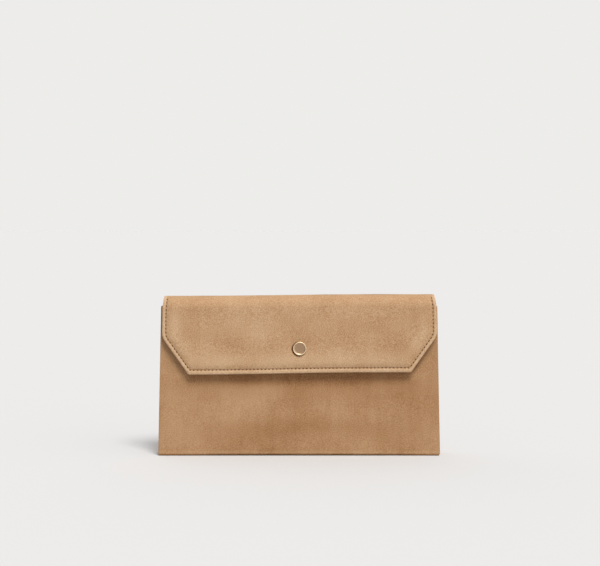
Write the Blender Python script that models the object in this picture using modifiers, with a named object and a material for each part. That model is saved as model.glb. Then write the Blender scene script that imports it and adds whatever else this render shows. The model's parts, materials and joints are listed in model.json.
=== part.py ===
"""Suede envelope clutch, standing closed on its base, with its front towards -Y.

Two stiffened walls lean together over a narrow base. The back wall's suede carries on over the mouth as a
rolled fold and comes down the front as a flap with cut-off corners, which a magnetic snap under a round
stud holds shut. The flap turns on two lines of the fold, the front wall swings out from the base, and
V-folded gussets close the sides.

The side section (Y, Z) is worked out from two wall planes and one circle: the fold's outer circle is
tangent to the back wall's outer face and to the flap's outer face.
"""

import math

import bmesh
import bpy
from mathutils import Vector

MM = 0.001

# Outside sizes
HEIGHT = 154.0 * MM
MOUTH_HEIGHT = 144.0 * MM
BASE_DEPTH = 24.0 * MM
MOUTH_DEPTH = 17.2 * MM
BASE_HALF_WIDTH = 135.3 * MM
MOUTH_HALF_WIDTH = 132.3 * MM
BASE_CORNER_RADIUS = 2.0 * MM

# Flap outline
FOLD_HALF_WIDTH = 129.4 * MM
FLAP_TOP_HALF_WIDTH = 130.6 * MM
FLAP_SIDE_HALF_WIDTH = 131.2 * MM
FLAP_SIDE_END = 114.8 * MM
FLAP_TIP_HALF_WIDTH = 107.2 * MM
FLAP_TIP = 79.4 * MM
FLAP_CORNER_RADIUS = 3.0 * MM

# Sheet goods
SUEDE = 1.0 * MM
WALL_BOARD = 1.2 * MM
LINING = 0.6 * MM
FLAP_FOAM = 0.7 * MM
FLAP_BOARD = 0.5 * MM
FACING = 0.7 * MM
GUSSET_LINING = 0.5 * MM
WALL_GAP = 0.3 * MM
FLAP_GAP = 0.15 * MM
PART_GAP = 0.3 * MM

# Where the layers of a wall and of the base stop
LAYER_INSET = 7.5 * MM
BOARD_FOOT = 4.0 * MM
FRONT_BOARD_TOP = 142.0 * MM
BACK_BOARD_TOP = 137.5 * MM
BACK_FACING_BEND = 139.5 * MM
FACING_FOOT = 120.0 * MM
BASE_LAYER_INSET = 5.0 * MM
BASE_LAYER_SIDE_GAP = 3.2 * MM

# Where the layers of the flap stop
PADDING_INSET = 5.0 * MM
PADDING_TOP_GAP = 5.0 * MM
FLAP_FACING_INSET = 0.5 * MM
FLAP_FACING_BEND = 3.0 * MM

# Gussets: how far the crease is folded in at the base and at the mouth
CREASE_AT_BASE = 1.6 * MM
CREASE_AT_MOUTH = 14.0 * MM
GUSSET_FOOT = 1.6 * MM
GUSSET_SET_IN = 0.8 * MM
GUSSET_SEAM = 3.0 * MM
GUSSET_SHOULDER = 6.8 * MM
GUSSET_ROWS = 7

# Slip pocket on the back wall's lining
POCKET_HALF_WIDTH = 75.0 * MM
POCKET_FOOT = 34.0 * MM
POCKET_TOP = 104.0 * MM
POCKET_BINDING_HEIGHT = 7.0 * MM
POCKET_BINDING = 1.2 * MM
POCKET_SEAM_MARGIN = 2.0 * MM

# Magnetic snap, measured along the front wall's outward normal from its outer face
SNAP_HEIGHT = 103.9 * MM
SNAP_GAP = 0.15 * MM
PLATE_RADIUS = 6.7 * MM
PLATE_THICKNESS = 0.4 * MM
MAGNET_RADIUS = 6.6 * MM
MAGNET_BORE = 3.2 * MM
MAGNET_THICKNESS = 1.0 * MM
COVER_RADIUS = 7.4 * MM
COVER_BORE = 2.8 * MM
COVER_WALL = 0.4 * MM
COVER_EDGE = 0.3 * MM
MALE_RADIUS = 6.6 * MM
MALE_THICKNESS = 0.6 * MM
NIB_RADIUS = 2.3 * MM
NIB_TIP_RADIUS = 1.9 * MM
NIB_CHAMFER = 0.4 * MM
NIB_LENGTH = 1.2 * MM
POST_RADIUS = 1.4 * MM
POST_HOLE = 1.7 * MM
POST_BITE = 0.8 * MM
POST_BORE_DEPTH = 1.1 * MM
RIVET_HEAD_RADIUS = 4.5 * MM
RIVET_HEAD = 0.6 * MM
RIVET_FLARE_RADIUS = 2.5 * MM
RIVET_FLARE = 0.3 * MM
BOARD_HOLE = 5.5 * MM

# Decorative stud over the snap
STUD_RADIUS = 6.45 * MM
STUD_THICKNESS = 2.0 * MM
STUD_RIM = 1.3 * MM
STUD_RECESS = 0.45 * MM
STUD_EDGE = 0.4 * MM

# Sewing thread
THREAD_RADIUS = 0.3 * MM
THREAD_LIFT = THREAD_RADIUS + 0.15 * MM
THREAD_END_ANGLE = math.radians(4)
SEAM_MARGIN = 3.6 * MM

ARC_STEPS = 6
CORNER_STEPS = 3
TURN_STEPS = 32
SMALLEST_STEP = 0.1 * MM

# Worked out: lean of the walls, place of the snap's faces, and the fold's circle
LEAN = math.atan((BASE_DEPTH - MOUTH_DEPTH) / 2 / MOUTH_HEIGHT)
PLATE_FACE = SNAP_GAP + PLATE_THICKNESS
MAGNET_FACE = PLATE_FACE + SNAP_GAP + MAGNET_THICKNESS
COVER_FACE = MAGNET_FACE + SNAP_GAP + COVER_WALL
MALE_FACE = COVER_FACE + SNAP_GAP
MALE_BACK = MALE_FACE + MALE_THICKNESS
FLAP_INSIDE = MALE_BACK + SNAP_GAP
FOAM_DEPTH = SUEDE + FLAP_GAP
FLAP_BOARD_DEPTH = FOAM_DEPTH + FLAP_FOAM + FLAP_GAP
FLAP_FACING_DEPTH = FLAP_BOARD_DEPTH + FLAP_BOARD + FLAP_GAP
FLAP_THICKNESS = FLAP_FACING_DEPTH + FACING
FLAP_OUTSIDE = FLAP_INSIDE + FLAP_THICKNESS
FOLD_Y = -FLAP_OUTSIDE / math.cos(LEAN) / 2
FOLD_RADIUS = (
    ((BASE_DEPTH / 2 - FOLD_Y) * math.cos(LEAN) - HEIGHT * math.sin(LEAN))
    / (1 - math.sin(LEAN))
)
FOLD_Z = HEIGHT - FOLD_RADIUS
FOLD_FACING_DEPTH = SUEDE + WALL_GAP
WALL_BOARD_DEPTH = SUEDE + WALL_GAP
WALL_LINING_DEPTH = WALL_BOARD_DEPTH + WALL_BOARD + WALL_GAP
WALL_THICKNESS = WALL_LINING_DEPTH + LINING
BACK_HINGE_ANGLE = math.radians(45)
FRONT_HINGE_ANGLE = math.radians(135)
HINGE_HALF_GAP = 0.15 * MM
HINGE_CLEAR_ANGLE = HINGE_HALF_GAP / FOLD_RADIUS
FRONT_HINGE_UP = BASE_CORNER_RADIUS + HINGE_HALF_GAP
WALL_FOOT = FRONT_HINGE_UP + HINGE_HALF_GAP
GUSSET_CLEAR = SUEDE / 2 + PART_GAP
FOLD_FOOT = FOLD_Z * math.cos(LEAN) + (FOLD_Y + BASE_DEPTH / 2) * math.sin(LEAN)


# ---------------------------------------------------------------- side section


def front_point(up, out):
    """(y, z) of a point up the front wall's outer face and out along its normal."""
    return Vector(
        (
            -BASE_DEPTH / 2 + up * math.sin(LEAN) - out * math.cos(LEAN),
            up * math.cos(LEAN) + out * math.sin(LEAN),
        )
    )


def back_point(up, out):
    """(y, z) of a point up the back wall's outer face and out along its normal."""
    front = front_point(up, out)
    return Vector((-front.x, front.y))


def fold_point(angle, depth):
    """(y, z) on the fold's circle, depth under its outer face. Angle 0 faces the back, pi the front."""
    radius = FOLD_RADIUS - depth
    return Vector((FOLD_Y + radius * math.cos(angle), FOLD_Z + radius * math.sin(angle)))


def wall_half_width(up):
    """Half the width of a wall's suede at a height."""
    return BASE_HALF_WIDTH + (MOUTH_HALF_WIDTH - BASE_HALF_WIDTH) * up / MOUTH_HEIGHT


def fold_half_width(angle):
    """The fold is narrowest at its crown and meets the flap's top corners and the back wall's."""
    crown = math.sin(angle)
    foot = FLAP_TOP_HALF_WIDTH if angle > math.pi / 2 else MOUTH_HALF_WIDTH
    return foot + (FOLD_HALF_WIDTH - foot) * crown


def flap_corner_rows():
    """(half width, up) along the flap's edge, from the middle of its tip to its top, with round corners."""
    corners = [
        Vector((0, FLAP_TIP)),
        Vector((FLAP_TIP_HALF_WIDTH, FLAP_TIP)),
        Vector((FLAP_SIDE_HALF_WIDTH, FLAP_SIDE_END)),
        Vector((FLAP_TOP_HALF_WIDTH, FOLD_FOOT)),
    ]
    rows = []
    for before, corner, after in zip(corners, corners[1:], corners[2:]):
        rows += rounded_corner(before, corner, after, FLAP_CORNER_RADIUS)
    return [(row.x, row.y) for row in rows] + [(FLAP_TOP_HALF_WIDTH, FOLD_FOOT)]


def rounded_corner(before, corner, after, radius):
    """Points on the arc that rounds a corner, tangent to both of its sides."""
    to_before = (before - corner).normalized()
    to_after = (after - corner).normalized()
    half = to_before.angle(to_after) / 2
    centre = corner + (to_before + to_after).normalized() * radius / math.sin(half)
    first = corner + to_before * radius / math.tan(half) - centre
    last = corner + to_after * radius / math.tan(half) - centre
    turn = -first.angle_signed(last)
    return [centre + turned_by(first, turn * i / CORNER_STEPS) for i in range(CORNER_STEPS + 1)]


def turned_by(vector, angle):
    """A 2D vector turned anticlockwise by an angle."""
    cos, sin = math.cos(angle), math.sin(angle)
    return Vector((vector.x * cos - vector.y * sin, vector.x * sin + vector.y * cos))


def arc_angles(first, last, steps=ARC_STEPS):
    return [first + (last - first) * i / steps for i in range(steps + 1)]


# ---------------------------------------------------------------- scene and materials


def clear_scene():
    for obj in list(bpy.data.objects):
        bpy.data.objects.remove(obj, do_unlink=True)


def new_collection(name, hidden=False):
    collection = bpy.data.collections.new(name)
    bpy.context.scene.collection.children.link(collection)
    collection.hide_render = hidden
    return collection


def new_material(name, colour, roughness, metallic=0.0):
    material = bpy.data.materials.new(name)
    material.use_nodes = True
    shader = material.node_tree.nodes["Principled BSDF"]
    shader.inputs["Base Color"].default_value = (*colour, 1.0)
    shader.inputs["Roughness"].default_value = roughness
    shader.inputs["Metallic"].default_value = metallic
    return material


def new_axis(name, point, parent=None):
    """An empty at a joint's axis. Pieces that turn with the joint are its children."""
    empty = bpy.data.objects.new(name, None)
    empty.empty_display_size = 0.01
    PARTS.objects.link(empty)
    empty.parent = parent
    place = Vector((0.0, point.x, point.y))
    empty["place"] = place
    empty.location = place - (Vector(parent["place"]) if parent else Vector())
    return empty


def finish_piece(obj, material, axis, smooth_angle=math.radians(35)):
    """Gives a piece its material and its axis, with its mesh measured from that axis."""
    obj.data.materials.append(material)
    PARTS.objects.link(obj)
    obj.parent = axis
    if obj.type == "MESH":
        obj.data.shade_smooth()
        obj.data.set_sharp_from_angle(angle=smooth_angle)
    return obj


# ---------------------------------------------------------------- shapes


def strip(name, rows, thickness, material, axis):
    """A sheet of an even thickness. Rows are (half width, (y, z)) along its outer face: up the front,
    over to the back, down it, and forward under the base."""
    place = Vector(axis["place"])
    mesh = bmesh.new()
    edges = []
    for half_width, point in rows:
        pair = [Vector((x, point.x, point.y)) - place for x in (-half_width, half_width)]
        edges.append([mesh.verts.new(corner) for corner in pair])
    for (left, right), (next_left, next_right) in zip(edges, edges[1:]):
        mesh.faces.new((left, right, next_right, next_left))
    obj = bpy.data.objects.new(name, bpy.data.meshes.new(name))
    mesh.to_mesh(obj.data)
    mesh.free()
    thicken(obj, thickness, -1.0)
    return finish_piece(obj, material, axis)


def thicken(obj, thickness, offset):
    solidify = obj.modifiers.new("thickness", "SOLIDIFY")
    solidify.thickness = thickness
    solidify.offset = offset
    solidify.use_even_offset = True


def turned(name, profile, out, material, axis, loop=False):
    """A turned piece on the snap's axis. The profile is (radius, out) pairs, outermost first."""
    obj = bpy.data.objects.new(name, bpy.data.meshes.new(name))
    edges = [(i, i + 1) for i in range(len(profile) - 1)]
    if loop:
        edges.append((len(profile) - 1, 0))
    obj.data.from_pydata([(radius, 0.0, height) for radius, height in profile], edges, [])
    screw = obj.modifiers.new("turning", "SCREW")
    screw.axis = "Z"
    screw.steps = TURN_STEPS
    screw.render_steps = TURN_STEPS
    screw.use_merge_vertices = True
    screw.merge_threshold = 0.01 * MM
    finish_piece(obj, material, axis)
    place_on_snap_axis(obj, out, Vector(axis["place"]))
    return obj


def place_on_snap_axis(obj, out, axis_place):
    """Puts a piece's local Z on the snap's axis, pointing out of the front wall, and its origin at out."""
    point = front_point(SNAP_HEIGHT, out)
    obj.location = Vector((0.0, point.x, point.y)) - axis_place
    obj.rotation_euler = (math.pi / 2 - LEAN, 0.0, 0.0)


def drill(obj, radius, out, depth):
    """A round hole on the snap's axis through a sheet that lies between out and out - depth."""
    bpy.ops.mesh.primitive_cylinder_add(vertices=TURN_STEPS, radius=radius, depth=depth + 2 * MM)
    cutter = bpy.context.object
    cutter.name = f"cut_{obj.name}"
    place_on_snap_axis(cutter, out - depth / 2, Vector())
    for collection in list(cutter.users_collection):
        collection.objects.unlink(cutter)
    CUTTERS.objects.link(cutter)
    cutter.hide_render = True
    cutter.display_type = "WIRE"
    cut = obj.modifiers.new("hole", "BOOLEAN")
    cut.operation = "DIFFERENCE"
    cut.object = cutter


def thread(name, points, material, axis):
    """Sewing thread: a thin round tube through (x, (y, z)) points."""
    place = Vector(axis["place"])
    curve = bpy.data.curves.new(name, "CURVE")
    curve.dimensions = "3D"
    curve.bevel_depth = THREAD_RADIUS
    curve.bevel_resolution = 1
    curve.use_fill_caps = True
    spline = curve.splines.new("POLY")
    spline.points.add(len(points) - 1)
    for spot, (x, point) in zip(spline.points, points):
        spot.co = (*(Vector((x, point.x, point.y)) - place), 1.0)
    return finish_piece(bpy.data.objects.new(name, curve), material, axis)


# ---------------------------------------------------------------- walls


def wall_rows(point, foot, top, depth, inset=0.0):
    """Rows of a flat layer of a wall, from foot to top."""
    return [(wall_half_width(up) - inset, point(up, -depth)) for up in (foot, top)]


def make_front_wall(axis):
    panel_rows = wall_rows(front_point, WALL_FOOT, MOUTH_HEIGHT, 0)
    panel = strip("front_panel", panel_rows, SUEDE, SUEDE_SKIN, axis)
    drill(panel, POST_HOLE, 0, SUEDE)
    board_rows = wall_rows(front_point, BOARD_FOOT, FRONT_BOARD_TOP, WALL_BOARD_DEPTH, LAYER_INSET)
    board = strip("front_board", board_rows, WALL_BOARD, PULPBOARD, axis)
    drill(board, BOARD_HOLE, -WALL_BOARD_DEPTH, WALL_BOARD)
    lining_top = FACING_FOOT - PART_GAP
    lining_rows = wall_rows(front_point, BOARD_FOOT, lining_top, WALL_LINING_DEPTH, LAYER_INSET)
    strip("front_lining", lining_rows, LINING, TWILL, axis)
    facing_rows = wall_rows(front_point, FACING_FOOT, MOUTH_HEIGHT, WALL_LINING_DEPTH, LAYER_INSET)
    strip("front_facing", facing_rows, LINING, SUEDE_SKIN, axis)


def make_back_wall(axis):
    angles = arc_angles(BACK_HINGE_ANGLE - HINGE_CLEAR_ANGLE, LEAN)
    crown = [(fold_half_width(a), fold_point(a, 0)) for a in angles]
    flat = [(wall_half_width(WALL_FOOT), back_point(WALL_FOOT, 0))]
    strip("back_panel", crown + flat, SUEDE, SUEDE_SKIN, axis)
    board_rows = wall_rows(back_point, BACK_BOARD_TOP, BOARD_FOOT, WALL_BOARD_DEPTH, LAYER_INSET)
    strip("back_board", board_rows, WALL_BOARD, PULPBOARD, axis)
    lining_top = FACING_FOOT - PART_GAP
    lining_rows = wall_rows(back_point, lining_top, BOARD_FOOT, WALL_LINING_DEPTH, LAYER_INSET)
    strip("back_lining", lining_rows, LINING, TWILL, axis)
    facing_half_width = FOLD_HALF_WIDTH - LAYER_INSET
    facing_crown = [(facing_half_width, fold_point(a, FOLD_FACING_DEPTH)) for a in angles]
    facing_flat = [
        (facing_half_width, back_point(up, -WALL_LINING_DEPTH)) for up in (BACK_FACING_BEND, FACING_FOOT)
    ]
    strip("back_facing", facing_crown + facing_flat, FACING, FACING_HIDE, axis)


def make_slip_pocket(axis):
    depth = WALL_THICKNESS + PART_GAP
    panel_top = POCKET_TOP - POCKET_BINDING_HEIGHT
    panel_rows = [(POCKET_HALF_WIDTH, back_point(up, -depth)) for up in (panel_top, POCKET_FOOT)]
    strip("slip_pocket", panel_rows, LINING, TWILL, axis)
    binding_foot = panel_top + PART_GAP
    binding_rows = [(POCKET_HALF_WIDTH, back_point(up, -depth)) for up in (POCKET_TOP, binding_foot)]
    strip("pocket_binding", binding_rows, POCKET_BINDING, FACING_HIDE, axis)


def base_rows(depth, half_width, side_gap, corner):
    """Rows of a base layer, from the back to the front, lifted by its depth, with round lower corners."""
    reach = BASE_DEPTH / 2 - side_gap
    if not corner:
        return [(half_width, Vector((y, depth))) for y in (reach, -reach)]
    quarter = [math.pi / 2 * i / ARC_STEPS for i in range(ARC_STEPS + 1)]
    back = [Vector((reach - corner + corner * math.cos(a), corner - corner * math.sin(a))) for a in quarter]
    front = [Vector((-point.x, point.y)) for point in reversed(back)]
    return [(half_width, point) for point in back + front]


def make_base(axis):
    strip("base_panel", base_rows(0, BASE_HALF_WIDTH, 0, BASE_CORNER_RADIUS), SUEDE, SUEDE_SKIN, axis)
    board_depth = SUEDE + WALL_GAP + WALL_BOARD
    inner_half_width = BASE_HALF_WIDTH - BASE_LAYER_INSET
    board = base_rows(SUEDE + WALL_GAP, inner_half_width, BASE_LAYER_SIDE_GAP, 0)
    strip("base_board", board, WALL_BOARD, PULPBOARD, axis)
    lining = base_rows(board_depth + WALL_GAP, inner_half_width, BASE_LAYER_SIDE_GAP, 0)
    strip("base_lining", lining, LINING, TWILL, axis)


# ---------------------------------------------------------------- gussets


def gusset_section(up, behind):
    """Half of a gusset's section at a height: (distance in from the wall's edge, y) from crease to seam.
    Behind is how far a layer lies behind the suede, square to the folded leg."""
    share = up / MOUTH_HEIGHT
    crease = GUSSET_SET_IN + CREASE_AT_BASE + (CREASE_AT_MOUTH - CREASE_AT_BASE) * share
    half_depth = BASE_DEPTH / 2 + (MOUTH_DEPTH - BASE_DEPTH) / 2 * share
    seam = half_depth - SUEDE - GUSSET_CLEAR
    shoulder = half_depth - WALL_THICKNESS - GUSSET_CLEAR
    shoulder_in = min(GUSSET_SHOULDER, crease)
    shift = behind * math.hypot(crease - shoulder_in, shoulder) / shoulder
    section = [(crease + shift, 0.0), (shoulder_in + shift, shoulder)]
    if not behind:
        section += [(min(GUSSET_SEAM, crease), seam), (GUSSET_SET_IN, seam)]
    return section


def gusset(name, side, foot, thickness, behind, material, axis):
    """A V-folded side wall, lofted from a flat foot to a deep fold at the mouth."""
    mesh = bmesh.new()
    rows = []
    for i in range(GUSSET_ROWS):
        up = foot + (MOUTH_HEIGHT - foot) * i / (GUSSET_ROWS - 1)
        half = gusset_section(up, behind)
        across = [(inset, -y) for inset, y in reversed(half[1:])] + half
        edge = wall_half_width(up)
        rows.append([mesh.verts.new((side * (edge - inset), y, up)) for inset, y in across])
    for lower, upper in zip(rows, rows[1:]):
        for j in range(len(lower) - 1):
            mesh.faces.new((lower[j], lower[j + 1], upper[j + 1], upper[j]))
    if side < 0:
        bmesh.ops.reverse_faces(mesh, faces=mesh.faces)
    obj = bpy.data.objects.new(name, bpy.data.meshes.new(name))
    mesh.to_mesh(obj.data)
    mesh.free()
    thicken(obj, thickness, 0.0)
    return finish_piece(obj, material, axis)


def make_gussets(axis):
    behind = (SUEDE + GUSSET_LINING) / 2 + PART_GAP
    for word, side in (("left", -1), ("right", 1)):
        gusset(f"{word}_gusset", side, GUSSET_FOOT, SUEDE, 0.0, SUEDE_SKIN, axis)
        gusset(f"{word}_gusset_lining", side, BOARD_FOOT, GUSSET_LINING, behind, TWILL, axis)


# ---------------------------------------------------------------- fold and flap


def make_fold(axis):
    first, last = FRONT_HINGE_ANGLE - HINGE_CLEAR_ANGLE, BACK_HINGE_ANGLE + HINGE_CLEAR_ANGLE
    angles = arc_angles(first, last, 2 * ARC_STEPS)
    rows = [(fold_half_width(a), fold_point(a, 0)) for a in angles]
    strip("fold_panel", rows, SUEDE, SUEDE_SKIN, axis)
    facing = [(FOLD_HALF_WIDTH - LAYER_INSET, fold_point(a, FOLD_FACING_DEPTH)) for a in angles]
    strip("fold_facing", facing, FACING, FACING_HIDE, axis)


def flap_rows(depth, inset):
    """Rows of a flat flap layer, from the tip to the fold, its outline pulled in by inset."""
    shrink = [(half_width - inset, max(up, FLAP_TIP + inset)) for half_width, up in flap_corner_rows()]
    return [(half_width, front_point(up, FLAP_OUTSIDE - depth)) for half_width, up in distinct(shrink)]


def distinct(rows):
    """Rows without those that pulling the outline in has laid on one height."""
    kept = []
    for row in rows:
        if kept and row[1] - kept[-1][1] < SMALLEST_STEP:
            kept.pop()
        kept.append(row)
    return kept


def flap_padding(name, depth, thickness, material, axis):
    """A flat layer between the flap's suede and its facing, pierced for the stud's post."""
    rows = flap_rows(depth, PADDING_INSET)[:-1]
    top = front_point(FOLD_FOOT - PADDING_TOP_GAP, FLAP_OUTSIDE - depth)
    rows.append((FOLD_HALF_WIDTH - PADDING_INSET, top))
    drill(strip(name, rows, thickness, material, axis), POST_HOLE, FLAP_OUTSIDE - depth, thickness)


def make_flap(axis):
    angles = arc_angles(math.pi - LEAN, FRONT_HINGE_ANGLE + HINGE_CLEAR_ANGLE)[1:]
    crown = [(fold_half_width(a), fold_point(a, 0)) for a in angles]
    panel = strip("flap_panel", flap_rows(0, 0) + crown, SUEDE, SUEDE_SKIN, axis)
    drill(panel, POST_HOLE, FLAP_OUTSIDE, SUEDE)

    flap_padding("flap_foam", FOAM_DEPTH, FLAP_FOAM, FOAM, axis)
    flap_padding("flap_board", FLAP_BOARD_DEPTH, FLAP_BOARD, PULPBOARD, axis)

    half_width = FLAP_TOP_HALF_WIDTH - FLAP_FACING_INSET
    bend = front_point(FOLD_FOOT - FLAP_FACING_BEND, FLAP_OUTSIDE - FLAP_FACING_DEPTH)
    flat = flap_rows(FLAP_FACING_DEPTH, FLAP_FACING_INSET)[:-1] + [(half_width, bend)]
    half_width = FOLD_HALF_WIDTH - FLAP_FACING_INSET
    facing_crown = [(half_width, fold_point(a, FOLD_FACING_DEPTH)) for a in angles]
    facing = strip("flap_facing", flat + facing_crown, FACING, FACING_HIDE, axis)
    drill(facing, POST_HOLE, FLAP_INSIDE + FACING, FACING)


# ---------------------------------------------------------------- snap and stud


def make_snap_socket(axis):
    """The half of the snap on the front wall: plate, ring magnet, cover, and the rivet that holds them."""
    rivet_back = -(SUEDE + SNAP_GAP)
    flare_foot = PLATE_FACE + SNAP_GAP / 2
    rivet = [
        (0.0, flare_foot + RIVET_FLARE),
        (RIVET_FLARE_RADIUS, flare_foot + RIVET_FLARE),
        (RIVET_FLARE_RADIUS, flare_foot),
        (POST_RADIUS, flare_foot),
        (POST_RADIUS, rivet_back),
        (RIVET_HEAD_RADIUS, rivet_back),
        (RIVET_HEAD_RADIUS, rivet_back - RIVET_HEAD),
        (0.0, rivet_back - RIVET_HEAD),
    ]
    turned("snap_rivet", rivet, 0.0, BRASS, axis)
    turned("snap_plate", ring(POST_HOLE, PLATE_RADIUS, SNAP_GAP, PLATE_FACE), 0.0, STEEL, axis, loop=True)
    magnet_back = MAGNET_FACE - MAGNET_THICKNESS
    magnet = ring(MAGNET_BORE, MAGNET_RADIUS, magnet_back, MAGNET_FACE)
    turned("snap_magnet", magnet, 0.0, FERRITE, axis, loop=True)
    cover = [
        (COVER_BORE, COVER_FACE),
        (COVER_RADIUS - COVER_EDGE, COVER_FACE),
        (COVER_RADIUS, COVER_FACE - COVER_EDGE),
        (COVER_RADIUS, SNAP_GAP),
        (COVER_RADIUS - COVER_WALL, SNAP_GAP),
        (COVER_RADIUS - COVER_WALL, COVER_FACE - COVER_WALL),
        (COVER_BORE, COVER_FACE - COVER_WALL),
    ]
    turned("snap_cover", cover, 0.0, BRASS, axis, loop=True)


def ring(inner, outer, back, face):
    """Profile of a flat ring, its outer side running from the face to the back."""
    return [(inner, face), (outer, face), (outer, back), (inner, back)]


def make_snap_male(axis):
    """The half of the snap on the flap: a disc with a nib, bored for the stud's post."""
    bore_end = MALE_BACK - POST_BORE_DEPTH
    bore = POST_RADIUS + SNAP_GAP
    nib_end = MALE_FACE - NIB_LENGTH
    profile = [
        (0.0, bore_end),
        (bore, bore_end),
        (bore, MALE_BACK),
        (MALE_RADIUS, MALE_BACK),
        (MALE_RADIUS, MALE_FACE),
        (NIB_RADIUS, MALE_FACE),
        (NIB_RADIUS, nib_end + NIB_CHAMFER),
        (NIB_TIP_RADIUS, nib_end),
        (0.0, nib_end),
    ]
    turned("snap_male", profile, 0.0, STEEL, axis)


def make_stud(axis):
    """The round gold stud on the flap's face: a low disc with a raised rim, and its post."""
    foot = FLAP_OUTSIDE + SNAP_GAP
    face = foot + STUD_THICKNESS
    post_end = MALE_BACK - POST_BITE
    rim_inside = STUD_RADIUS - STUD_RIM
    profile = [
        (0.0, face - STUD_RECESS),
        (rim_inside, face - STUD_RECESS),
        (rim_inside + STUD_EDGE / 2, face),
        (STUD_RADIUS - STUD_EDGE, face),
        (STUD_RADIUS, face - STUD_EDGE),
        (STUD_RADIUS, foot),
        (POST_RADIUS, foot),
        (POST_RADIUS, post_end),
        (0.0, post_end),
    ]
    turned("stud_cap", profile, 0.0, GOLD, axis)


# ---------------------------------------------------------------- seams


def make_flap_thread(axis):
    """The seam round the flap, from the fold down one side, along the tip and up the other side."""
    lowest = FLAP_TIP + SEAM_MARGIN
    edge = [(half_width - SEAM_MARGIN, max(up, lowest)) for half_width, up in flap_corner_rows()]
    side = [(x, front_point(up, FLAP_OUTSIDE + THREAD_LIFT)) for x, up in distinct(edge)]
    angles = arc_angles(math.pi - LEAN, FRONT_HINGE_ANGLE + THREAD_END_ANGLE)[1:]
    side += [(fold_half_width(a) - SEAM_MARGIN, fold_point(a, -THREAD_LIFT)) for a in angles]
    thread("flap_thread", [(-x, point) for x, point in reversed(side)] + side, THREAD, axis)


def make_mouth_thread(axis):
    """The seam that holds the front wall's facing along the mouth."""
    reach = MOUTH_HALF_WIDTH - SEAM_MARGIN
    point = front_point(MOUTH_HEIGHT - SEAM_MARGIN, THREAD_LIFT)
    thread("mouth_thread", [(-reach, point), (reach, point)], THREAD, axis)


def make_pocket_thread(axis):
    """The seam down the slip pocket's sides and along its foot."""
    depth = WALL_THICKNESS + PART_GAP + LINING + THREAD_LIFT
    reach = POCKET_HALF_WIDTH - POCKET_SEAM_MARGIN
    top = back_point(POCKET_TOP - POCKET_BINDING_HEIGHT - 2 * THREAD_RADIUS, -depth)
    foot = back_point(POCKET_FOOT + POCKET_SEAM_MARGIN, -depth)
    thread("pocket_thread", [(-reach, top), (-reach, foot), (reach, foot), (reach, top)], THREAD, axis)


# ---------------------------------------------------------------- the clutch

clear_scene()
PARTS = new_collection("envelope_clutch")
CUTTERS = new_collection("cutters", hidden=True)

SUEDE_SKIN = new_material("suede", (0.48, 0.29, 0.15), 0.95)
FACING_HIDE = new_material("facing_leather", (0.52, 0.34, 0.19), 0.7)
TWILL = new_material("lining_twill", (0.42, 0.30, 0.19), 0.85)
PULPBOARD = new_material("pulpboard", (0.33, 0.24, 0.16), 0.9)
FOAM = new_material("foam", (0.75, 0.72, 0.64), 0.95)
GOLD = new_material("pale_gold", (0.83, 0.66, 0.46), 0.25, 1.0)
BRASS = new_material("brass", (0.78, 0.60, 0.32), 0.3, 1.0)
STEEL = new_material("steel", (0.60, 0.58, 0.55), 0.35, 1.0)
FERRITE = new_material("ferrite", (0.06, 0.06, 0.065), 0.8)
THREAD = new_material("thread", (0.32, 0.18, 0.07), 0.8)

root_axis = new_axis("bag", Vector((0.0, 0.0)))
front_axis = new_axis("front_wall_axis", front_point(FRONT_HINGE_UP, 0), root_axis)
fold_axis = new_axis("fold_axis", fold_point(BACK_HINGE_ANGLE, 0), root_axis)
flap_axis = new_axis("flap_axis", fold_point(FRONT_HINGE_ANGLE, 0), fold_axis)

make_front_wall(front_axis)
make_back_wall(root_axis)
make_slip_pocket(root_axis)
make_base(root_axis)
make_gussets(root_axis)
make_fold(fold_axis)
make_flap(flap_axis)
make_snap_socket(front_axis)
make_snap_male(flap_axis)
make_stud(flap_axis)
make_flap_thread(flap_axis)
make_mouth_thread(front_axis)
make_pocket_thread(root_axis)

for empty in (front_axis, fold_axis, flap_axis):
    print(empty.name, "at", [round(value / MM, 3) for value in empty["place"]], "mm")
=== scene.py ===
# %% [markdown]
# # A suede envelope clutch
# The bag is a flat box of two leaning walls and two folded gussets. Its back suede carries on over a round
# fold and becomes the front flap, which a magnetic snap holds shut behind one round gold stud. The packed
# model is a fixed frame: it gives the sizes and the joints. This script dresses it with suede, lining,
# stitches and metal, piece by piece.

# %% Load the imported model
import json
import math

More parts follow.
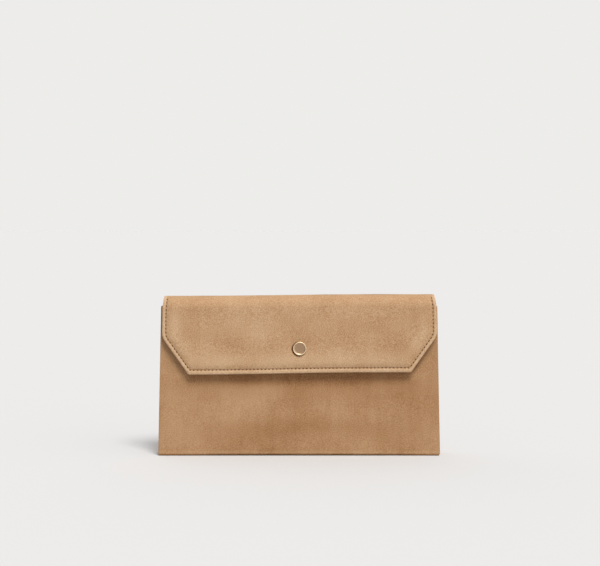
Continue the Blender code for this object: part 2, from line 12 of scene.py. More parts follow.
import bmesh
import bpy
import numpy as np
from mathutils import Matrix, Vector


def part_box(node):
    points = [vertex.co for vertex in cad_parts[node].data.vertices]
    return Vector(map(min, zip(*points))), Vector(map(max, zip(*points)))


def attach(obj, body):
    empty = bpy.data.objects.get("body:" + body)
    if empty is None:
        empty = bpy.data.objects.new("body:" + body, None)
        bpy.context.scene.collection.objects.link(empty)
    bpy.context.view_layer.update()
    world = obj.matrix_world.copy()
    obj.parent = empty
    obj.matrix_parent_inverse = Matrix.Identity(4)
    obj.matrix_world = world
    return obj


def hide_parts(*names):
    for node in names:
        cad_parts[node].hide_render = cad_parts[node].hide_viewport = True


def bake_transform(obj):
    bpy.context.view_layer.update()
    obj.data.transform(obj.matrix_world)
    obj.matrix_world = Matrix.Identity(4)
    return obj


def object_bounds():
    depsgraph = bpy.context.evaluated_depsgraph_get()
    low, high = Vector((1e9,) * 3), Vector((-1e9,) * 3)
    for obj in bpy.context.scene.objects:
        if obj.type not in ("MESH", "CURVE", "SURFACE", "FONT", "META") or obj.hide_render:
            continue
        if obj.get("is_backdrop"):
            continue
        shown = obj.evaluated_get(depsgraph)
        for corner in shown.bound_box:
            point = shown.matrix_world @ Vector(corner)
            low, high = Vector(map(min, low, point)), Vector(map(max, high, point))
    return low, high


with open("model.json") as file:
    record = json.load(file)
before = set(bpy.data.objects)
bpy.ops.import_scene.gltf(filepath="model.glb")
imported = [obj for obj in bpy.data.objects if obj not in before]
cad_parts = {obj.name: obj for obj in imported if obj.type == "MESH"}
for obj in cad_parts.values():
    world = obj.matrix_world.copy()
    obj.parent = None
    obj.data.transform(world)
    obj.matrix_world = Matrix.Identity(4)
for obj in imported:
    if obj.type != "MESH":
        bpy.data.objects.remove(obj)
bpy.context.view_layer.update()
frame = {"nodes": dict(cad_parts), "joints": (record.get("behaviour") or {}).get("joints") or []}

# %% [markdown]
# ## The bag seen from the side
# Every soft piece follows one line, the side section of the bag: up the front, over the fold, down the back
# and under the base. The frame says where that line runs. The base gives the width and depth. The two hinges
# of the fold lie on its round at 45 and 135 degrees, so they give its centre and its radius. The lean of the
# walls is then the one angle at which the back wall meets the round without a kink. A name that ends in HALF
# is half a width.

# %% Sizes from the frame
MM = 0.001
join = np.concatenate
base_low, base_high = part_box("base_panel")
BASE_HALF, HALF_DEPTH = base_high.x, base_high.y

joints = {joint["name"]: joint for joint in frame["joints"]}
back_hinge = joints["flap_fold_back"]["pos_m"]
front_hinge = joints["flap_fold_front"]["pos_m"]
FOLD_Y = (back_hinge[1] + front_hinge[1]) / 2
FOLD_RADIUS = (back_hinge[1] - front_hinge[1]) / 2 / math.cos(math.radians(45))
FOLD_Z = back_hinge[2] - FOLD_RADIUS * math.sin(math.radians(45))

reach = HALF_DEPTH - FOLD_Y
LEAN = math.acos(FOLD_RADIUS / math.hypot(reach, FOLD_Z)) - math.atan2(FOLD_Z, reach)
SIN, COS = math.sin(LEAN), math.cos(LEAN)
FLAP_OUTSIDE = FOLD_RADIUS - ((FOLD_Y + HALF_DEPTH) * COS - FOLD_Z * SIN)
MOUTH_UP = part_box("front_panel")[1].z / COS
MOUTH_HALF = 132.3 * MM
print(f"lean {math.degrees(LEAN):.2f} deg, fold radius {FOLD_RADIUS / MM:.2f}, flap {FLAP_OUTSIDE / MM:.2f} mm out")

# %% [markdown]
# Two formulas describe the line. `wall_point` goes up a wall and out along its normal. `cover_point` walks
# along the outer suede from the crown of the fold: a positive distance goes down the flap, a negative one
# down the back wall. Both work on whole arrays, so a surface is one call.

# %% Points on the side section
ARC = FOLD_RADIUS * (math.pi / 2 - LEAN)


def points(x, y, z):
    """One array of points from three arrays of coordinates, stretched to one shape."""
    return np.stack(np.broadcast_arrays(x, y, z), axis=-1)


def wall_point(up, out, side):
    """(y, z): from the base's edge, `up` along the leaning wall, `out` along its normal. Side -1 is the front."""
    return side * (HALF_DEPTH - up * SIN + out * COS), up * COS + out * SIN


def cover_point(along, depth=0.0):
    """(y, z), `depth` under the outer suede: a circle for the fold, and past it the tangent straight down."""
    on_arc = np.clip(along, -ARC, ARC)
    angle = math.pi / 2 + on_arc / FOLD_RADIUS
    straight = along - on_arc
    y = FOLD_Y + (FOLD_RADIUS - depth) * np.cos(angle) - straight * np.sin(angle)
    z = FOLD_Z + (FOLD_RADIUS - depth) * np.sin(angle) + straight * np.cos(angle)
    return y, z


def cover_normal(along):
    """The outward normal of the fold and the flap: along the circle's radius, and past it always the same."""
    angle = math.pi / 2 + np.minimum(along, ARC) / FOLD_RADIUS
    return points(0.0, np.cos(angle), np.sin(angle))


def ease(value, low, high):
    """0 below low, 1 above high, and an S-shaped cubic between them."""
    t = np.clip((value - low) / (high - low), 0, 1)
    return t * t * (3 - 2 * t)


def smooth_min(a, b, width):
    """The smaller of two values, with the corner where they cross rounded over a width."""
    near = np.clip(1 - np.abs(a - b) / width, 0, 1)
    return np.minimum(a, b) - near * near * width / 4


def bell(value, middle, width):
    """1 at the middle, and less on both sides of it as a bell curve falls."""
    return np.exp(-(((value - middle) / width) ** 2))


# %% Widths of the walls, the fold and the flap
FOLD_HALF, FLAP_TOP_HALF = 129.4 * MM, 130.6 * MM
FLAP_SIDE_HALF, FLAP_TIP_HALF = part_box("flap_panel")[1].x, 107.2 * MM
FLAP_CORNER_RADIUS = 3.0 * MM
FLAP_SHIFT, STUD_DROP = 0.6 * MM, 0.5 * MM
SEAM, TIP_SEAM = 3.6 * MM, 4.4 * MM
front_foot = FOLD_Z * COS + (FOLD_Y + HALF_DEPTH) * SIN
back_foot = FOLD_Z * COS + (HALF_DEPTH - FOLD_Y) * SIN
TIP = ARC + front_foot - (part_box("flap_panel")[0].z - (FLAP_OUTSIDE - 1.0 * MM) * SIN) / COS
TIP_UP = ARC + front_foot - TIP
SIDE_END = TIP - 35.4 * MM
CHAMFER = (FLAP_SIDE_HALF - FLAP_TIP_HALF) / (TIP - SIDE_END)
CHAMFER_SLOPE = math.hypot(1, CHAMFER)


def wall_half_width(up):
    """Half a wall's width, which shrinks evenly from the base to the mouth."""
    return BASE_HALF + (MOUTH_HALF - BASE_HALF) * up / MOUTH_UP


def flap_side(along):
    """Half the width between the flap's straight sides: least at the crown, and more down the flap."""
    crown = np.sin(math.pi / 2 + np.clip(along, 0, ARC) / FOLD_RADIUS)
    fold = FLAP_TOP_HALF + (FOLD_HALF - FLAP_TOP_HALF) * crown
    return fold + (FLAP_SIDE_HALF - FLAP_TOP_HALF) * np.clip((along - ARC) / (SIDE_END - ARC), 0, 2)


def flap_half_width(along, inset=0.0, tip_inset=None):
    """Half the flap's width, `inset` inside its outline: the side, the chamfer and the round corner."""
    tip_inset = inset if tip_inset is None else tip_inset
    chamfer = FLAP_TIP_HALF + (TIP - along) * CHAMFER - inset * CHAMFER_SLOPE
    width = smooth_min(flap_side(along) - inset, chamfer, 3 * MM)
    radius = max(FLAP_CORNER_RADIUS - inset, 1.2 * MM)
    above = np.maximum(TIP - tip_inset - along, 0)
    touch = radius * (1 - CHAMFER / CHAMFER_SLOPE)
    centre = FLAP_TIP_HALF + (tip_inset + touch) * CHAMFER - inset * CHAMFER_SLOPE - radius / CHAMFER_SLOPE
    corner = centre + np.sqrt(np.maximum(radius**2 - (radius - above) ** 2, 0))
    return np.where(above < touch, corner, width)


def flap_edge_distance(x, along):
    """How far inside the flap's outline a point is: the least of its distances to the side, the chamfer and the
    tip, where the seam lies further in and the distance counts for less."""
    chamfer = (FLAP_TIP_HALF + (TIP - along) * CHAMFER - np.abs(x)) / CHAMFER_SLOPE
    side_or_chamfer = smooth_min(flap_side(along) - np.abs(x), chamfer, 2 * MM)
    return smooth_min(side_or_chamfer, (TIP - along) * SEAM / TIP_SEAM, 2 * MM)


print(f"from the crown the flap runs {TIP / MM:.1f} mm, its chamfer starts at {SIDE_END / MM:.1f} mm")

# %% [markdown]
# ## Making a mesh from grids of points
# A piece is one or more grids of points. Four neighbours make a face, and points that coincide are merged,
# which closes a seam between two grids or the pole of a turned piece. Rows run up the front, over and down
# the back, and columns run from left to right, so faces point outwards.

# %% Grid helper
MERGE = 0.004 * MM


def make_piece(name, grids, material, body=None, flip=False, thickness=0.0, offset=-1.0, **attributes):
    """Grids are (..., rows, columns, 3) points. Attributes are one array a grid, kept on the mesh's points."""
    faces, start = [], 0
    for grid in grids:
        count = grid.size // 3
        number = start + np.arange(count).reshape(grid.shape[:-1])
        quads = [number[..., :-1, :-1], number[..., :-1, 1:], number[..., 1:, 1:], number[..., 1:, :-1]]
        faces.append(np.stack(quads[::-1] if flip else quads, axis=-1).reshape(-1, 4))
        start += count
    mesh = bpy.data.meshes.new(name)
    mesh.from_pydata(join([g.reshape(-1, 3) for g in grids]).tolist(), [], join(faces).tolist())
    for label, values in attributes.items():
        layer = mesh.attributes.new(label, "FLOAT", "POINT")
        layer.data.foreach_set("value", join([np.ravel(v) for v in values]).astype(np.float32))
    merged = bmesh.new()
    merged.from_mesh(mesh)
    bmesh.ops.remove_doubles(merged, verts=merged.verts, dist=MERGE)
    merged.to_mesh(mesh)
    merged.free()
    mesh.shade_smooth()
    for slot in material if isinstance(material, list) else [material]:
        mesh.materials.append(slot)
    piece = bpy.data.objects.new(name, mesh)
    bpy.context.scene.collection.objects.link(piece)
    if thickness:
        wall = piece.modifiers.new("thickness", "SOLIDIFY")
        wall.thickness, wall.offset, wall.use_even_offset = thickness, offset, True
    if body:
        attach(piece, body)
    print(f"{name}: {len(mesh.vertices)} points, {len(mesh.polygons)} faces")
    return piece


def graded(length, edge, fine, coarse):
    """Distances from 0 to length, close together near both ends, where the stitching is, and wide between."""
    close = np.arange(0, edge, fine)
    wide = np.linspace(edge, length - edge, max(2, round((length - 2 * edge) / coarse)))
    return join([close, wide, (length - close)[::-1]])


# %% [markdown]
# ## How cloth and suede lie
# The real bag isn't ruled. Its fold and flap are a fraction of a millimetre higher at the right than at the
# left, and the middle of the base is lifted a little, so it stands on its two ends. Two formulas do this to
# every piece there, so that layers stay together. Two more make board-backed layers belly and wander.

# %% Small irregularities of a hand-made bag
TILT, ARCH = 0.8 * MM, 0.8 * MM


def tilt(x, weight=1.0):
    """How much higher the fold and the flap are at x: a soft S from left to right."""
    return weight * TILT * np.tanh((x + 20 * MM) / (60 * MM))


def arch(x, z):
    """How much the base is lifted at x: a parabola across the width that fades out up the walls."""
    return ARCH * np.clip(1 - (x / BASE_HALF) ** 2, 0, 1) * np.exp(-np.maximum(z, 0) / (20 * MM))


def swell(x):
    """1 at two places a quarter of the width from the middle, 0 at the middle and the sides."""
    return bell(np.abs(x), 66 * MM, 24 * MM)


def ripple(x, z, size):
    """Slow unevenness of a board-backed skin, a sum of three crossing waves."""
    slow = np.sin(x / (23 * MM) + 1.3 + z / (41 * MM)) + np.sin(z / (17 * MM) + 0.4 - x / (60 * MM))
    return size * (slow + np.sin(x / (9 * MM) + z / (13 * MM))) / 3


# %% [markdown]
# ## Finishes
# Colours are written as sRGB hex values and turned to linear light by one function. One more function adds a
# node with its settings and inputs. The kinds of node that every finish needs have short functions too.

# %% Colour and node helpers
def linear(colour):
    """An sRGB hex colour as linear red, green, blue and alpha."""
    values = [int(colour[i : i + 2], 16) / 255 for i in (1, 3, 5)]
    return (*[v / 12.92 if v <= 0.04045 else ((v + 0.055) / 1.055) ** 2.4 for v in values], 1.0)


def feed(tree, node, inputs):
    """Gives each input of a node a value, or a link from another node's output."""
    for name, value in inputs.items():
        if isinstance(value, bpy.types.NodeSocket):
            tree.links.new(value, node.inputs[name])
        else:
            node.inputs[name].default_value = value


def add(tree, kind, settings=None, inputs=None):
    """Adds a node with its settings, and feeds its inputs."""
    made = tree.nodes.new(kind)
    for name, value in (settings or {}).items():
        setattr(made, name, value)
    feed(tree, made, inputs or {})
    return made


def maths(tree, operation, *values):
    """The result of one operation on numbers or outputs."""
    return add(tree, "ShaderNodeMath", {"operation": operation}, dict(enumerate(values))).outputs["Value"]


def noise(tree, place, scale, detail=2, roughness=0.5):
    """Soft random clouds between 0 and 1, about `scale` of them a metre."""
    inputs = {"Vector": place, "Scale": scale, "Detail": detail, "Roughness": roughness}
    return add(tree, "ShaderNodeTexNoise", inputs=inputs).outputs["Fac"]


def bump(tree, height, strength, distance):
    """The normal of a surface roughened by a height, over a distance in mm."""
    inputs = {"Strength": strength, "Distance": distance * MM, "Height": height}
    return add(tree, "ShaderNodeBump", inputs=inputs).outputs["Normal"]


def new_material(name):
    """An empty material: its node tree, its shader, and its Object coordinates."""
    material = bpy.data.materials.new(name)
    material.use_nodes = True
    tree = material.node_tree
    return material, tree, tree.nodes["Principled BSDF"], add(tree, "ShaderNodeTexCoord").outputs["Object"]


def ramp(tree, factor, *stops):
    """A colour ramp: (place, hex colour) stops, lowest first, read by a factor."""
    made = add(tree, "ShaderNodeValToRGB", inputs={"Fac": factor})
    elements = made.color_ramp.elements
    for element, (place, colour) in ((elements[0], stops[0]), (elements[-1], stops[-1])):
        element.position, element.color = place, linear(colour)
    for place, colour in stops[1:-1]:
        elements.new(place).color = linear(colour)
    return made.outputs["Color"]


# %% [markdown]
# ### Split suede
# Suede is the flesh side of a hide, sanded to a short nap. It has no gloss. The nap lies in different ways
# where it was brushed or handled, which the eye sees as soft lighter and darker clouds 20 to 60 mm across,
# with fine up-and-down streaks, and single fibre bundles under a millimetre make a speckle. The fibres also
# light up at a grazing angle, which is the sheen. An attribute worked out with each piece adds soft spots of
# tone, and painted light as well: painted highlights beside a seam, above the flap's tip and on its rolled
# edge, painted shade in the seam's groove, under the flap's edge and along the bottom, and the stud's painted
# shadow. Another, `grain`, says how much the fibres stand up.

# %% Suede
def make_suede():
    """Clouds, streaks, fibres and the attribute of tone and painted light add up to one tone, which a ramp turns into
    tans.
    """
    material, tree, shader, place = new_material("split_suede_tan")
    cloud = noise(tree, place, 24, 3, 0.55)
    stretched = add(tree, "ShaderNodeMapping", inputs={"Vector": place, "Scale": (190, 190, 32)})
    streak = noise(tree, stretched.outputs["Vector"], 1)
    fibre = noise(tree, place, 1050, 2, 0.7)
    tone, grain = (
        add(tree, "ShaderNodeAttribute", {"attribute_name": label}).outputs["Fac"] for label in ("nap_and_shade", "grain")
    )
    speck = maths(tree, "MULTIPLY", maths(tree, "SUBTRACT", fibre, 0.5), grain)
    for source, share in ((cloud, 0.45), (streak, 0.11), (speck, 1.15)):
        tone = maths(tree, "MULTIPLY_ADD", source, share, tone)
    # The lowest stops are reached mainly in painted shade: the stud's painted shadow and the painted shade under the
    # flap's edge.
    colour = ramp(
        tree, maths(tree, "ADD", tone, 0.22),
        (0.0, "#4C2E19"), (0.03, "#7A5133"), (0.25, "#97714E"), (0.5, "#AD8A68"), (0.75, "#BE9F7F"), (1.0, "#D0B699"),
    )
    feed(tree, shader, {
        "Base Color": colour, "Normal": bump(tree, fibre, 0.35, 0.25), "Roughness": 0.95, "Specular IOR Level": 0.12,
        "Sheen Weight": 0.22, "Sheen Roughness": 0.45, "Sheen Tint": linear("#E8CBA6"),
    })
    return material


def suede_marks(nap_and_shade, grain):
    """The two attributes of a suede piece: one array of tone and painted light a grid, and the same grain everywhere.
    """
    return {"nap_and_shade": nap_and_shade, "grain": [np.full(np.shape(values), grain) for values in nap_and_shade]}


def spots(table, x, down):
    """Soft spots added up: rows are (x, down, width, height, strength), sizes in mm, and a bell curve both ways."""
    return sum(
        strength * bell(x, at * MM, wide * MM) * bell(down, level * MM, high * MM)
        for at, level, wide, high, strength in table
    )


SUEDE = make_suede()
BODY_GRAIN, BACK_GRAIN, FLAP_GRAIN = 0.62, 0.8, 1.0

# %% [markdown]
# ### The other soft finishes
# The facing is thin grain leather with a fine pebble. The lining is a cotton twill, whose threads cross in
# steps and show as slanting ribs: real ribs are half a millimetre apart, too fine to show, so they are drawn
# twice as coarse. The thread is twisted polyester with a slight shine.

# %% Facing leather, twill, thread, board and foam
def make_facing_leather():
    """Thin grain leather: soft clouds in its colour and a fine pebble in its surface."""
    material, tree, shader, place = new_material("grain_leather_tan")
    pebble = add(tree, "ShaderNodeTexVoronoi", {"feature": "SMOOTH_F1"}, {"Vector": place, "Scale": 900})
    colour = ramp(tree, noise(tree, place, 30, 3), (0.3, "#A97E56"), (0.7, "#BE9770"))
    normal = bump(tree, pebble.outputs["Distance"], 0.3, 0.15)
    feed(tree, shader, {"Base Color": colour, "Normal": normal, "Roughness": 0.58})
    return material


def make_twill():
    """Cotton twill: slanting ribs 1 mm apart, with slubs where a thread is thicker."""
    material, tree, shader, place = new_material("cotton_twill_sand")
    slant = add(tree, "ShaderNodeMapping", inputs={"Vector": place, "Rotation": (0, math.radians(35), 0)})
    ribs = add(
        tree, "ShaderNodeTexWave", {"bands_direction": "X", "wave_profile": "SIN"},
        {"Vector": slant.outputs["Vector"], "Scale": 314, "Distortion": 0.6, "Detail": 1, "Detail Scale": 2},
    ).outputs["Fac"]
    level = maths(tree, "MULTIPLY_ADD", ribs, 0.35, noise(tree, place, 160, 3))
    colour = ramp(tree, level, (0.3, "#8C6F4F"), (0.95, "#B99C77"))
    normal = bump(tree, ribs, 0.4, 0.2)
    feed(tree, shader, {"Base Color": colour, "Normal": normal, "Roughness": 0.85, "Sheen Weight": 0.1})
    return material


def make_thread():
    """Twisted polyester: two browns that wind round it."""
    material, tree, shader, place = new_material("polyester_thread_umber")
    inputs = {"Vector": place, "Scale": 600, "Distortion": 0.5}
    twist = add(tree, "ShaderNodeTexWave", {"bands_direction": "DIAGONAL"}, inputs)
    colour = ramp(tree, twist.outputs["Fac"], (0.1, "#40230A"), (0.9, "#5C3A14"))
    feed(tree, shader, {"Base Color": colour, "Roughness": 0.6})
    return material


def make_plain(name, low, high, scale, roughness):
    """A matt fibre board, foam or sintered stone: a speckle between two colours, and a bump from it."""
    material, tree, shader, place = new_material(name)
    speck = noise(tree, place, scale, 4, 0.65)
    colour = ramp(tree, speck, (0.35, low), (0.65, high))
    feed(tree, shader, {"Base Color": colour, "Normal": bump(tree, speck, 0.3, 0.2), "Roughness": roughness})
    return material


FACING = make_facing_leather()
TWILL = make_twill()
THREAD = make_thread()
PULPBOARD = make_plain("pulpboard_pressed", "#6E5A44", "#8D775C", 350, 0.92)
FOAM = make_plain("polyurethane_foam", "#CFC7B4", "#E4DDCB", 700, 0.95)
FERRITE = make_plain("ferrite_sintered", "#2B2A2A", "#3D3B3A", 900, 0.7)

# %% [markdown]
# ### Metals
# The stud is zinc, turned and plated in a pale gold: its rim is lightly polished and its sunk centre brushed
# matt, so the centre looks taupe beside the bright rim. The snap is brass and nickel-plated steel. Plating
# is never perfectly even, so a faint noise moves the roughness.

# %% Pale gold, brass and steel
def make_metal(name, low, high, roughness, spread, scale):
    """A plated metal: two near colours, and a roughness that wanders by a small spread."""
    material, tree, shader, place = new_material(name)
    film = noise(tree, place, scale, 3)
    colour = ramp(tree, film, (0.3, low), (0.7, high))
    limits = {"From Min": 0.3, "From Max": 0.7, "To Min": roughness - spread, "To Max": roughness + spread}
    rough = add(tree, "ShaderNodeMapRange", inputs={"Value": film, **limits}).outputs["Result"]
    feed(tree, shader, {"Base Color": colour, "Roughness": rough, "Metallic": 1.0})
    return material


RIM_GOLD = make_metal("zinc_plated_pale_gold_polished", "#EBD3AE", "#F3DFC0", 0.42, 0.03, 400)
DISC_GOLD = make_metal("zinc_plated_pale_gold_matt", "#AB8C70", "#B39578", 0.5, 0.05, 900)
BRASS = make_metal("brass_pressed", "#D8B26A", "#E4C27E", 0.28, 0.04, 500)
STEEL = make_metal("steel_nickel_plated", "#BDB8AF", "#CBC7BF", 0.3, 0.05, 500)

# %% [markdown]
# ## The walls
# Each wall is one skin of suede over a board. Along the sides and at the mouth the skin is turned over, so
# an edge is a soft round, not a cut. Across the width the profile is the same for every row: a tuck on the
# inside, a half round, the flat face, and the same again mirrored. The columns near an edge keep their
# distance from it, and those between share what is left.

# %% Profile across a wall
EDGE_ZONE = 9 * MM
ROLL = 0.6 * MM
WALL_BELLY, WALL_RIPPLE = 0.8 * MM, 0.16 * MM
CORNER, CORNER_ROWS = 2.0 * MM, 9
BASE_TURN = HALF_DEPTH - (CORNER + CORNER * SIN) / COS
WALL_START = CORNER * (1 + SIN) / COS


def across_wall(tuck):
    """Columns of a wall: (share of the middle, distance past it, depth). x is share * (half width - zone) + past."""
    turn = np.linspace(math.pi, 0, 9)
    tucked, flat = np.linspace(ROLL + tuck, ROLL, 5)[:-1], np.linspace(ROLL, EDGE_ZONE, 12)[1:-1]
    inset = join([tucked, ROLL - ROLL * np.sin(turn), flat])
    depth = join([np.full(tucked.size, 2 * ROLL), ROLL * (1 - np.cos(turn)), np.zeros(flat.size)])
    middle = np.linspace(-1, 1, 111)
    share = join([np.full(inset.size, -1.0), middle, np.full(inset.size, 1.0)])
    past = join([inset - EDGE_ZONE, np.zeros(middle.size), (EDGE_ZONE - inset)[::-1]])
    return share, past, join([depth, np.zeros(middle.size), depth[::-1]])


def wall_grid(rows, half_width, tuck):
    """Points of a wall: rows are (y, z, normal y, normal z) along the side section, each sunk by its column's
    depth. The front wall bellies out, but not at the mouth, and the whole face wanders a little."""
    y, z, normal_y, normal_z = (np.asarray(v)[:, None] for v in rows)
    share, past, depth = across_wall(tuck)
    x = share * (np.asarray(half_width)[:, None] - EDGE_ZONE) + past
    plump = ease(z, 60 * MM, 110 * MM) * (1 - ease(z, 120 * MM, 137 * MM)) * (y < 0)
    uneven = ripple(x, z, WALL_RIPPLE) * (depth == 0) * ease(BASE_HALF - np.abs(x), 2 * MM, 12 * MM)
    sunk = depth - WALL_BELLY * swell(x) * plump - uneven
    return points(x, y - normal_y * sunk, z - normal_z * sunk + arch(x, z))


def round_corner(side, first, last):
    """Rows round a lower corner: a circle that touches the wall and the floor."""
    angle = np.linspace(first, last, CORNER_ROWS)
    y, z = np.cos(angle), np.sin(angle)
    return np.array([side * BASE_TURN + CORNER * y, CORNER + CORNER * z, y, z])


print(f"the corner round meets the wall {WALL_START / MM:.2f} mm up")

# %% [markdown]
# The front suede starts under the base, turns up the front wall, goes over the mouth and ends inside it.
# When the mouth opens, the wall turns about the bag's lower front edge.

# %% Front wall and base
# Spots of tone on the body; the last row is painted shade below the flap's tip, where its shadow falls.
BODY_SPOTS_AND_SHADE = [
    (-124, 50, 12, 34, 0.08), (-59, 46, 24, 16, 0.08), (-28, 26, 30, 9, -0.08), (18, 30, 26, 9, -0.07),
    (72, 22, 24, 8, -0.06), (53, 43, 26, 10, 0.06), (-16, 4, 40, 6, -0.05), (129, 50, 8, 24, -0.06),
    (40, 8, 50, 8, -0.04), (0, 70, 105, 5, -0.13),
]
MOUTH_ROLL = 1.3 * MM
FRONT_TUCK = 6 * MM


def nap_and_shade_on_body(x, z):
    """Spots of tone, the flap's painted shadow below its tip, and painted shade on the bottom edge, paler 3 mm up."""
    past_tip = np.maximum(z / COS - TIP_UP, 0) * CHAMFER
    past_chamfer = (FLAP_TIP_HALF - np.abs(x) + past_tip) / CHAMFER_SLOPE
    # The flap's painted shadow on the front wall below its tip and chamfers; it stays when the flap is open.
    painted_flap_shadow = 0.17 * ease(z, 66 * MM, 77 * MM) * ease(past_chamfer, -3 * MM, 7 * MM)
    # Painted shade along the bottom edge, and a paler band 3 mm above it.
    foot = 0.22 * bell(z, 0, 1.5 * MM) - 0.09 * bell(z, 3.3 * MM, 1.2 * MM)
    return spots(BODY_SPOTS_AND_SHADE, x, z) - 0.14 - painted_flap_shadow - foot


base_y = np.linspace(BASE_TURN, -BASE_TURN, 15)[:-1]
base_rows = np.broadcast_arrays(base_y, 0.0, 0.0, -1.0)
corner_rows = round_corner(-1, 1.5 * math.pi, math.pi - LEAN)
ups = WALL_START + graded(MOUTH_UP - MOUTH_ROLL - WALL_START, 6 * MM, 0.6 * MM, 3 * MM)[1:]
wall_rows = np.broadcast_arrays(*wall_point(ups, 0, -1), -COS, SIN)
over = np.linspace(math.pi - LEAN, -LEAN, 13)[1:]
top_y, top_z = wall_point(MOUTH_UP - MOUTH_ROLL, -MOUTH_ROLL, -1)
over_rows = [top_y + MOUTH_ROLL * np.cos(over), top_z + MOUTH_ROLL * np.sin(over), np.cos(over), np.sin(over)]
down = MOUTH_UP - MOUTH_ROLL - np.array([1, 2, 4]) * MM
in_rows = np.broadcast_arrays(*wall_point(down, -2 * MOUTH_ROLL, -1), COS, -SIN)
front_rows = join([base_rows, corner_rows, wall_rows, over_rows, in_rows], axis=1)

# The turned hem gets narrower, so that it stays inside the gussets.
hem_insets = join([1.2 * np.linspace(0, 1, over.size) ** 2, [3.5, 6.0, 7.0]]) * MM
below = np.full(base_y.size + CORNER_ROWS, BASE_HALF)
front_widths = join([below, wall_half_width(ups), MOUTH_HALF - hem_insets])
front_widths = front_widths - 1.3 * MM * (1 - ease(front_rows[1], -1.5 * MM, 3 * MM))
front_grid = wall_grid(front_rows, front_widths, FRONT_TUCK)
front_marks = suede_marks([nap_and_shade_on_body(front_grid[..., 0], front_grid[..., 2])], BODY_GRAIN)
front_suede = make_piece("front_suede", [front_grid], SUEDE, **front_marks)
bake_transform(front_suede)
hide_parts("base_panel", "front_panel")

# %% [markdown]
# The back suede starts at the crown of the fold, comes down the back wall and turns under the base, where a
# seam joins it to the front skin.

# %% Back wall and the back half of the fold
BACK_TUCK = 9 * MM


def tilt_down_back(along):
    """How much of the tilt is left down the back wall: all of it at the fold and none 60 mm below."""
    return ease(-along, -ARC - 60 * MM, -ARC)


along = join([np.linspace(0, ARC, 22), ARC + graded(back_foot - WALL_START, 4 * MM, 0.8 * MM, 3 * MM)[1:]])
back_angle = math.pi / 2 - np.minimum(along, ARC) / FOLD_RADIUS
under_rows = round_corner(1, LEAN, -math.pi / 2)[:, 1:]
back_rows = join([[*cover_point(-along), np.cos(back_angle), np.sin(back_angle)], under_rows], axis=1)
fold_part = MOUTH_HALF + (FOLD_HALF - MOUTH_HALF) * np.sin(back_angle)
wall_part = wall_half_width(back_foot - (along - ARC))
under = np.zeros(CORNER_ROWS - 1)
back_widths = join([np.where(along < ARC, fold_part, wall_part), under + BASE_HALF])
back_grid = wall_grid(back_rows, back_widths, BACK_TUCK)
back_weight = join([tilt_down_back(along), under])[:, None]
back_grid[..., 2] += tilt(back_grid[..., 0], back_weight)
back_nap = 0.02 - 0.12 * (1 - back_weight) + 0 * back_grid[..., 0]
back_suede = make_piece("back_suede", [back_grid], SUEDE, **suede_marks([back_nap], BACK_GRAIN))
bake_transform(back_suede)
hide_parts("back_panel", "fold_panel")

# %% [markdown]
# ## The flap
# The flap's suede lies over a thin foam, so the stitching pulls a groove into it and leaves a plump field
# inside and a raised roll outside. The relief is a height that depends only on the distance to the outline,
# which for a shape with straight sides is the least of three simple distances. The stud presses a shallow
# dimple into it. The outline itself is closed by rings that carry the skin round the edge and under it.

# %% Flap suede
FLAP_ROLL, FLAP_EDGE, FLAP_TUCK = 1.1 * MM, 2.9 * MM, 4 * MM
FLAP_SPOTS = [
    (-67, 52, 18, 10, -0.10), (-86, 24, 16, 10, -0.06), (90, 52, 14, 14, -0.10), (121, 26, 8, 14, -0.06),
    (-118, 34, 9, 24, 0.09), (-31, 43, 30, 12, 0.05), (53, 23, 34, 8, 0.05), (0, 64, 40, 6, 0.03),
    (20, 48, 30, 8, -0.03),
]
stud_low, stud_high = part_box("stud_cap")
stud_middle = (stud_low + stud_high) / 2
STUD_UP = (stud_middle.y + HALF_DEPTH) * SIN + stud_middle.z * COS
STUD_ALONG = ARC + front_foot - STUD_UP
STUD_RADIUS = stud_high.x


def fuller(along):
    """0 at the crown, where the turned edge is thin like the back's, and 1 down the flap."""
    return ease(along, 0.2 * ARC, ARC + 4 * MM)


def flap_edge_roll(along):
    """How far the turned edge rounds outwards."""
    return ROLL + (FLAP_ROLL - ROLL) * fuller(along)


def flap_edge_thickness(along):
    """How thick the turned edge is."""
    return 2 * ROLL + (FLAP_EDGE - 2 * ROLL) * fuller(along)


def flap_relief(x, along):
    """How far the skin stands out: a roll outside the seam, a groove along it, a plump field, and a dimple."""
    edge = flap_edge_distance(x, along)
    inside = np.maximum(edge - SEAM, 0)
    field = 0.9 * (1 - bell(inside, 0, 2.8 * MM)) * (0.55 + 0.45 * bell(inside, 0, 26 * MM))
    pucker = 0.10 * np.sin(x / (2.9 * MM) + along / (3.7 * MM)) * bell(edge, 7 * MM, 3 * MM)
    dimple = -0.65 * np.exp(-((np.hypot(x, along - STUD_ALONG) / (STUD_RADIUS + 1.6 * MM)) ** 6))
    height = 0.18 * bell(edge, 2.0 * MM, 0.75 * MM) - 0.45 * bell(edge, SEAM, 0.6 * MM) + field + pucker + dimple
    return (height * MM + ripple(x, along, 0.22 * MM)) * ease(along, 0.0, ARC)


def flap_surface(x, along, out=0.0):
    """Points of the flap at x across and along down from the crown, `out` above its outer face. It sits a little
    to one side, and its corners are cut a little short."""
    y, z = cover_point(along, -out)
    low = ease(along, ARC + 20 * MM, TIP)
    trimmed = 1.1 * MM * ease(-x, 50 * MM, 105 * MM) - 0.8 * MM * ease(x, 50 * MM, 105 * MM)
    sideways = FLAP_SHIFT * (0.6 + 0.4 * x / FLAP_SIDE_HALF) * ease(along, 0, ARC)
    return points(x + sideways + low * trimmed, y, z + tilt(x, 1 + 0.5 * low))


